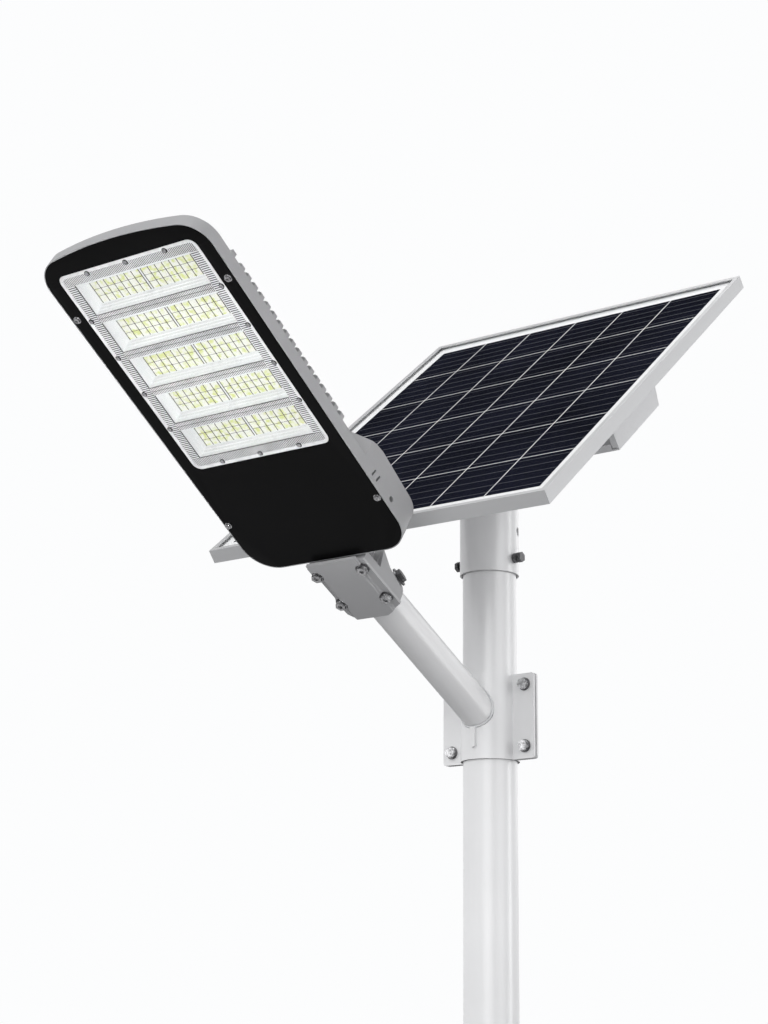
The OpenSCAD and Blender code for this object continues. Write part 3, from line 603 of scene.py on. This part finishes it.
def led_tiles():
    """Three rows of fourteen light packages on each board, with dark lines of painted shade between the
    columns and the rows.
    """
    dome = ((3.3, 0.0), (2.7, 0.3), (1.6, 0.5), (0.3, 0.55))  # radius and height in millimetres
    turns = [k * math.tau / 16 for k in range(16)]
    track_half = 15.2 * MM
    tiles, domes, shade_strips = Shape(head), Shape(head), Shape(head)
    chips_low, chips_high = head.box("led_chips")
    columns, pitch_x, pitch_y = 7, 11.25 * MM, 10.0 * MM
    first = 7.6 * MM
    half_x, half_y = 5.1 * MM, 4.75 * MM
    base, top = chips_low.z, chips_low.z + 0.7 * MM
    mid_x = (chips_low.x + chips_high.x) / 2
    soft = 0.35 * MM
    shade_stripe, thread, level = 0.46 * MM, 0.2 * MM, base + 0.6 * MM
    for mid_y in tray_middles:
        for side in (-1, 1):
            for i in range(columns):
                x = mid_x + side * (first + i * pitch_x)
                for j in (-1, 0, 1):
                    y = mid_y + j * pitch_y
                    rings = []
                    for inset, height in ((0, base), (0, top - soft), (soft, top)):
                        rings.append(tiles.loop(round_rect(x - half_x + inset, x + half_x - inset,
                                                           y - half_y + inset, y + half_y - inset,
                                                           0.8 * MM, height, 2)))
                    for a, b in zip(rings, rings[1:]):
                        tiles.bridge(a, b)
                    tiles.faces.append(tuple(rings[-1]))
                    dome_rings = []
                    for radius, height in dome:
                        dome_rings.append(domes.loop([
                            (x + radius * MM * math.cos(t), y + radius * MM * math.sin(t), top + height * MM)
                            for t in turns]))
                    for a, b in zip(dome_rings, dome_rings[1:]):
                        domes.bridge(a, b)
                    domes.faces.append(tuple(dome_rings[-1]))
                # Painted shade: dark lines between the columns of light packages, and further down between the
                # rows.
                for at in (x - pitch_x / 2, x + pitch_x / 2):
                    shade_strips.block((at - shade_stripe, mid_y - track_half, base),
                                 (at + shade_stripe, mid_y + track_half, level))
            middle = mid_x + side * (first + (columns - 1) / 2 * pitch_x)
            for j in (-1, 1):
                y = mid_y + j * pitch_y / 2
                shade_strips.block((middle - columns / 2 * pitch_x, y - thread, base),
                             (middle + columns / 2 * pitch_x, y + thread, level - 0.05 * MM))
    tiles.piece("led_packages", slots["phosphor"], "head", "phosphor", ("led_chips",), smooth=30)
    domes.piece("led_domes", slots["phosphor"], "head", "phosphor", ("led_chips",), smooth=60)
    # The dark colour of these lines is painted shade.
    dark = plain_plastic("shade_stripe", (0.05, 0.047, 0.025), 0.4, 0.5)
    shade_strips.piece("led_shade_strips", dark, "head", "dark_plastic")


def cell_lines():
    """Five thin tinned ribbons over every solar cell, and the white backing that shows between the cells."""
    cells_low, cells_high = panel.box("solar_cells")
    glass_low = panel.box("panel_glass")[0]
    across, ribbons_per_cell = 6, 5
    gap = 1.8 * MM
    half_width, end_gap = 0.55 * MM, 0.5 * MM
    cell_x = (cells_high.x - cells_low.x - (across - 1) * gap) / across
    cell_y = (cells_high.y - cells_low.y - (across - 1) * gap) / across
    space = glass_low.z - cells_high.z
    ribbons, grid = Shape(panel), Shape(panel)
    margin, grid_top = 0.2 * MM, cells_high.z - 0.02 * MM
    ribbon_low, ribbon_high = cells_high.z + 0.1 * space, cells_high.z + 0.8 * space
    for i in range(across):
        x = cells_low.x + i * (cell_x + gap)
        for j in range(across):
            y = cells_low.y + j * (cell_y + gap)
            for k in range(ribbons_per_cell):
                at = y + (k + 0.5) * cell_y / ribbons_per_cell
                ribbons.block((x + end_gap, at - half_width, ribbon_low),
                              (x + cell_x - end_gap, at + half_width, ribbon_high))
    for i in range(1, across):
        x = cells_low.x + i * (cell_x + gap) - gap
        y = cells_low.y + i * (cell_y + gap) - gap
        grid.block((x + margin, cells_low.y, cells_low.z), (x + gap - margin, cells_high.y, cells_high.z))
        grid.block((cells_low.x, y + margin, cells_low.z), (cells_high.x, y + gap - margin, grid_top))
    grid.piece("cell_grid", slots["backsheet"], "panel", "backsheet")
    tinned = plain_plastic("ribbon", (0.055, 0.059, 0.074), 0.5, 0.6)
    ribbons.piece("cell_ribbons", tinned, "panel", "zinc_washer")


lens_border()
lens_ribs()
screw_shade_rings()
lens_panes()
trays()
led_tiles()
cell_lines()


# ---------- camera, light and floor ----------

CAMERA_PLACE = (1.622, -2.4206, 2.180)
CAMERA_TURN = (36.80, 15.02, 0.52)  # yaw, pitch and roll in degrees
CAMERA_LENS = 73.69


def add_camera():
    yaw, pitch, roll = (math.radians(angle) for angle in CAMERA_TURN)
    place = Vector(CAMERA_PLACE)
    forward = Vector((-math.sin(yaw) * math.cos(pitch), math.cos(yaw) * math.cos(pitch), math.sin(pitch)))
    flat = Vector((math.cos(yaw), math.sin(yaw), 0.0))
    raised = flat.cross(forward)
    right = flat * math.cos(roll) + raised * math.sin(roll)
    up = raised * math.cos(roll) - flat * math.sin(roll)
    turn = Matrix((right, up, -forward)).transposed()
    camera = bpy.data.objects.new("camera", bpy.data.cameras.new("camera"))
    camera.matrix_world = Matrix.Translation(place) @ turn.to_4x4()
    camera.data.sensor_fit = "AUTO"
    camera.data.sensor_width = 36.0
    camera.data.lens = CAMERA_LENS
    camera.data.clip_end = 200.0
    bpy.context.scene.collection.objects.link(camera)
    bpy.context.scene.camera = camera


# Height above the horizon, from -1 to 1, and how bright the walls are there.
HORIZON = ((-0.35, 0.9), (0.0, 1.12), (0.25, 0.95), (0.6, 0.3))


def add_world():
    """White to the camera. The light it gives comes mostly from the pale walls round the horizon."""
    world = bpy.data.worlds.new("studio")
    bpy.context.scene.world = world
    world.use_nodes = True
    tree = world.node_tree
    seen = tree.nodes["Background"]
    seen.inputs["Color"].default_value = (0.975, 0.98, 0.985, 1.0)
    given = tree.nodes.new("ShaderNodeBackground")
    coords = tree.nodes.new("ShaderNodeTexCoord")
    split = tree.nodes.new("ShaderNodeSeparateXYZ")
    tree.links.new(coords.outputs["Generated"], split.inputs[0])
    ramp = tree.nodes.new("ShaderNodeValToRGB")
    spread = tree.nodes.new("ShaderNodeMapRange")
    spread.inputs["From Min"].default_value = -1.0
    tree.links.new(split.outputs["Z"], spread.inputs["Value"])
    tree.links.new(spread.outputs["Result"], ramp.inputs["Fac"])
    stops = ramp.color_ramp.elements
    stops[0].position, stops[0].color = 0.0, (0.1, 0.1, 0.1, 1.0)
    stops[1].position, stops[1].color = 1.0, (0.15, 0.15, 0.153, 1.0)
    for height, bright in HORIZON:
        stops.new((height + 1.0) / 2).color = (bright, bright, bright * 1.01, 1.0)
    tree.links.new(ramp.outputs["Color"], given.inputs["Color"])
    path = tree.nodes.new("ShaderNodeLightPath")
    mix = tree.nodes.new("ShaderNodeMixShader")
    tree.links.new(path.outputs["Is Camera Ray"], mix.inputs["Fac"])
    tree.links.new(given.outputs[0], mix.inputs[1])
    tree.links.new(seen.outputs[0], mix.inputs[2])
    tree.links.new(mix.outputs[0], tree.nodes["World Output"].inputs["Surface"])


def soft_box(name, place, target, width, height, watts, spread=180.0):
    light = bpy.data.lights.new(name, "AREA")
    light.shape = "RECTANGLE"
    light.size, light.size_y, light.energy = width, height, watts
    light.spread = math.radians(spread)
    obj = bpy.data.objects.new(name, light)
    obj.location = place
    obj.rotation_euler = (Vector(target) - Vector(place)).to_track_quat("-Z", "Y").to_euler()
    bpy.context.scene.collection.objects.link(obj)


def add_floor():
    """A plain floor. The camera sees it paler than the light does, to keep the lamp's underside dark."""
    size = 60.0
    mesh = bpy.data.meshes.new("floor")
    corners = [(-size, -size, 0), (size, -size, 0), (size, size, 0), (-size, size, 0)]
    mesh.from_pydata(corners, [], [(0, 1, 2, 3)])
    paint = Paint("floor").colour((0.5, 0.5, 0.505), 0.02, 1.5).rough(0.6, 0.75, 4.0)
    grey = paint.shader.inputs["Base Color"].links[0].from_socket
    seen = paint.tree.nodes.new("ShaderNodeLightPath").outputs["Is Camera Ray"]
    paint.link(paint.mix(grey, (0.93, 0.93, 0.935), seen), paint.shader.inputs["Base Color"])
    mesh.materials.append(paint.material)
    floor = bpy.data.objects.new("floor", mesh)
    floor.location.z = -0.0005
    bpy.context.scene.collection.objects.link(floor)


add_camera()
add_world()
AIM = (0.0, -0.2, 2.8)
SOFT_BOXES = (  # name, place, width, height, watts
    ("high_front", (-1.2, -4.4, 6.2), 2.5, 2.5, 150.0),
    ("top", (0.0, 0.6, 7.0), 3.0, 3.0, 60.0),
    ("side", (4.2, -1.2, 3.4), 2.5, 3.0, 16.0),
    ("rim", (2.9, 1.6, 2.4), 0.5, 3.2, 18.0),
    ("back", (0.5, 4.5, 4.5), 3.0, 3.0, 23.0),
    ("near", (1.8, -5.0, 3.0), 3.2, 3.2, 36.0),
)
for label, place, width, height, watts in SOFT_BOXES:
    soft_box(label, place, AIM, width, height, watts)
lens_middle = head.world((lens_low + lens_high) / 2)
soft_box("grid", lens_middle + Vector((0.5, -1.0, -1.6)), lens_middle, 0.45, 0.45, 0.54, 13.0)
add_floor()
bpy.context.scene.view_settings.view_transform = "Standard"
